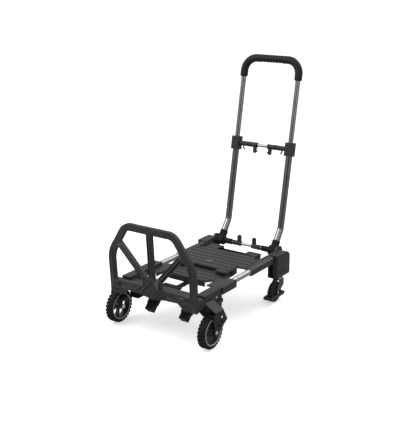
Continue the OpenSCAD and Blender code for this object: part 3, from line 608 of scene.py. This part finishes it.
def makeTubes():
    for label, side in sides:
        node = "lower_tube_" + label
        addPiece("lowerTube_" + label, copyOf(node), "lower_handle", steelLower, [node], 0.0007, 2, 40)
        node = "mid_housing_" + label
        addPiece("midHousing_" + label, copyOf(node), "lower_handle", framePlastic, [node], 0.0030, 3, 40)
    for node in ("mid_rod", "lower_rod"):
        addPiece(node + "_bar", copyOf(node), "lower_handle", steelRod, [node], 0.0005, 1, 40)
    # the pivot arms under the deck take the much darker copy: painted shade
    addPiece("pivotArms", copyOf("lower_arms"), "lower_handle", shadedInnerPlastic, ["lower_arms"], 0.0016, 2, 40)
    makeDetentHoleShade()


def sweepHandle(drop, radius, steps, press, inner):
    # a round bar swept up the left leg, over the top and down the right leg
    high = spanOf("grip")[1]
    reach, corner = gripTrim["radius"], gripTrim["corner"]
    legX = high.x - reach
    top = Vector((0, high.y - reach, high.z - reach))

    def along(distance):
        leg = drop - corner
        turnLength = corner * math.pi / 2
        bar = 2 * (legX - corner)
        if distance > leg + turnLength + bar / 2:
            point = along(2 * (leg + turnLength) + bar - distance)
            return Vector((-point.x, point.y, point.z))
        if distance < leg:
            return top - legAxis * (drop - distance) + Vector((-legX, 0, 0))
        if distance < leg + turnLength:
            angle = (distance - leg) / corner
            return top - legAxis * corner * (1 - math.sin(angle)) + Vector((-legX + corner * (1 - math.cos(angle)), 0, 0))
        return top + Vector((-legX + corner + distance - leg - turnLength, 0, 0))

    total = 2 * (drop - corner + corner * math.pi / 2) + 2 * (legX - corner)
    bm = bmesh.new()
    rings = []
    around = 32
    outward = Vector((1, 0, 0)).cross(legAxis)
    for step in range(steps + 1):
        distance = total * step / steps
        ahead = (along(min(distance + 0.0005, total)) - along(max(distance - 0.0005, 0))).normalized()
        across = outward.cross(ahead).normalized()
        ring = bmesh.ops.create_circle(bm, cap_ends=False, segments=around, radius=radius)["verts"]
        turn = Matrix((across, outward, ahead)).transposed().to_4x4()
        for v in ring:
            v.co = v.co * press(distance - total / 2, min(distance, total - distance), max(0.0, -v.co.x / radius))
        bmesh.ops.transform(bm, matrix=Matrix.Translation(along(distance)) @ turn, verts=ring)
        rings.append(ring)
    loops = [[e for e in bm.edges if e.verts[0] in set(ring) and e.verts[1] in set(ring)] for ring in (rings[0], rings[-1])]
    for first, second in zip(rings, rings[1:]):
        for index in range(around):
            after = (index + 1) % around
            bm.faces.new((first[index], first[after], second[after], second[index]))
    for loop in loops:
        made = bmesh.ops.extrude_edge_only(bm, edges=loop)["geom"]
        verts = [v for v in made if isinstance(v, bmesh.types.BMVert)]
        centre = sum((v.co for v in verts), Vector()) / len(verts)
        bmesh.ops.scale(bm, vec=(inner, inner, inner), space=Matrix.Translation(-centre), verts=verts)
    return bm


def makeGrip():
    low, high = spanOf("grip")
    drop = (high.z - gripTrim["radius"] - low.z) / legAxis.z - 0.001
    radius = gripTrim["radius"]

    def press(fromMiddle, fromEnd, facing):
        # finger waves under the bar, and a taper at each end
        wave = 0.0
        if abs(fromMiddle) < gripTrim["waveHalf"]:
            wave = 0.5 - 0.5 * math.cos(math.tau * gripTrim["waves"] * (fromMiddle / gripTrim["waveHalf"] + 1) / 2)
        taper = max(0.0, 1 - fromEnd / gripTrim["taper"]) * 0.16
        return 1 - gripTrim["shrink"] / radius - gripTrim["waveDepth"] * wave * facing / radius - taper

    bm = sweepHandle(drop, radius, 220, press, 0.74)
    addPiece("gripCover", bm, "upper_handle", gripRubber, ["grip"], 0, 1, 60, True)


def makeUpperTube():
    low, high = spanOf("upper_tube")
    gripHigh = spanOf("grip")[1]
    radius = high.z - (gripHigh.z - gripTrim["radius"])
    end = low.z + radius * math.sin(leanAngle)
    drop = (gripHigh.z - gripTrim["radius"] - end) / legAxis.z
    bm = sweepHandle(drop, radius, 260, lambda fromMiddle, fromEnd, facing: 1.0, 0.86)
    addPiece("upperTube", bm, "upper_handle", steelUpper, ["upper_tube"], 0, 1, 40, True)


def makeSleeves():
    for level in ("mid", "lower"):
        for label, side in sides:
            node = "{}_sleeve_{}".format(level, label)
            body = "sleeve_{}_{}".format({"mid": "mid", "lower": "low"}[level], label)
            bm = copyOf(node)
            low, high = spanOf(node)
            centre = middleOf("mid_rod" if level == "mid" else "lower_rod")
            # gripping ridges round both ends of the sleeve
            for end in (low.x + 0.004, low.x + 0.008, high.x - 0.004, high.x - 0.008, high.x - 0.012):
                addTurned(bm, [(-0.0014, 0.0108), (-0.0006, 0.0117), (0.0006, 0.0117), (0.0014, 0.0108)],
                          Vector((end, centre.y, centre.z)), (1, 0, 0), 36, True)
            addPiece("sleeve_{}_{}".format(level, label), bm, body, framePlastic, [node], 0.0010, 2, 40)


makeTubes()
makeUpperTube()
makeGrip()
makeSleeves()
print("handle made")

for name, node in frame["nodes"].items():
    finish = {"bright_steel": steelBright, "black_steel": blackSteel}.get(slotOf[name], framePlastic)
    if "screws" in name or "rivets" in name:
        finish = steelDark
    node.data.materials.clear()
    node.data.materials.append(finish)

studio = {"floor": 0.60, "floorGlow": 0.50, "horizon": 0.50, "zenith": 1.30, "key": 60, "fill": 6, "rim": 40, "lens": 69.5,
          "cameraFromFace": (1.8876, -2.3826, 1.4276), "heading": 34.43, "dip": 16.89}


def addStage(name, bm):
    mesh = bpy.data.meshes.new(name)
    bm.to_mesh(mesh)
    bm.free()
    staged = bpy.data.objects.new(name, mesh)
    bpy.context.scene.collection.objects.link(staged)
    return staged


def makeStudio():
    bm = bmesh.new()
    bmesh.ops.create_grid(bm, x_segments=1, y_segments=1, size=30)
    floor = addStage("floor", bm)
    paper = Recipe("paleFloor")
    tone = paper.noise(0.7, 2)
    floor.data.materials.append(paper.finish(Base_Color=paper.blend(tone, shade(studio["floor"]), shade(studio["floor"] * 0.99)),
                                             Roughness=0.85, Emission_Color=shade(1), Emission_Strength=studio["floorGlow"]))
    # the floor gives no bounce light, so undersides stay deep
    floor.visible_diffuse = False
    floor.visible_glossy = False
    world = bpy.data.worlds.new("softRoom")
    world.use_nodes = True
    room = world.node_tree
    spot = room.nodes.new("ShaderNodeTexCoord")
    parts = room.nodes.new("ShaderNodeSeparateXYZ")
    light = room.nodes.new("ShaderNodeMapRange")
    light.inputs["From Min"].default_value = 0
    light.inputs["To Min"].default_value = studio["horizon"]
    light.inputs["To Max"].default_value = studio["zenith"]
    room.links.new(spot.outputs["Generated"], parts.inputs["Vector"])
    room.links.new(parts.outputs["Z"], light.inputs["Value"])
    room.links.new(light.outputs["Result"], room.nodes["Background"].inputs["Strength"])
    room.nodes["Background"].inputs["Color"].default_value = (1, 1, 1, 1)
    bpy.context.scene.world = world
    bpy.context.scene.view_settings.view_transform = "Standard"
    aim = Vector((0, 0, 0.4))
    for name, spot, size, power in (("keyLight", (-1.6, -1.8, 2.6), 1.6, studio["key"]),
                                    ("fillLight", (2.6, -1.0, 1.6), 1.6, studio["fill"]),
                                    ("rimLight", (0.8, 2.6, 2.4), 1.4, studio["rim"])):
        lamp = bpy.data.lights.new(name, "AREA")
        lamp.size = size
        lamp.energy = power
        light = bpy.data.objects.new(name, lamp)
        light.location = spot
        light.rotation_euler = (aim - Vector(spot)).to_track_quat("-Z", "Y").to_euler()
        bpy.context.scene.collection.objects.link(light)


def makeFlag():
    # a black flag behind the camera, seen only in reflections, gives the tubes their dark streaks
    bm = bmesh.new()
    heading = math.radians(studio["heading"])
    turn = Matrix.Rotation(heading, 4, "Z")
    addBox(bm, (-1.5, -5.0, 0.0), (1.5, -4.98, 3.2), turn)
    flag = addStage("blackFlag", bm)
    black = Recipe("flagCloth")
    weave = black.noise(80, 2)
    flag.data.materials.append(black.finish(Base_Color=black.blend(weave, shade(0.004), shade(0.006)), Roughness=0.95,
                                            Specular_IOR_Level=0.0))
    flag.visible_camera = False
    flag.visible_diffuse = False
    flag.visible_shadow = False


def makeCamera():
    # the camera's place is given from the middle of the gate's face at its hinge
    right, back, up = studio["cameraFromFace"]
    lens = bpy.data.cameras.new("camera")
    lens.lens = studio["lens"]
    camera = bpy.data.objects.new("camera", lens)
    camera.location = (right, faceY + back, up)
    camera.rotation_euler = (math.pi / 2 - math.radians(studio["dip"]), 0, math.radians(studio["heading"]))
    bpy.context.scene.collection.objects.link(camera)
    bpy.context.scene.camera = camera


makeStudio()
makeFlag()
makeCamera()
print("studio made")
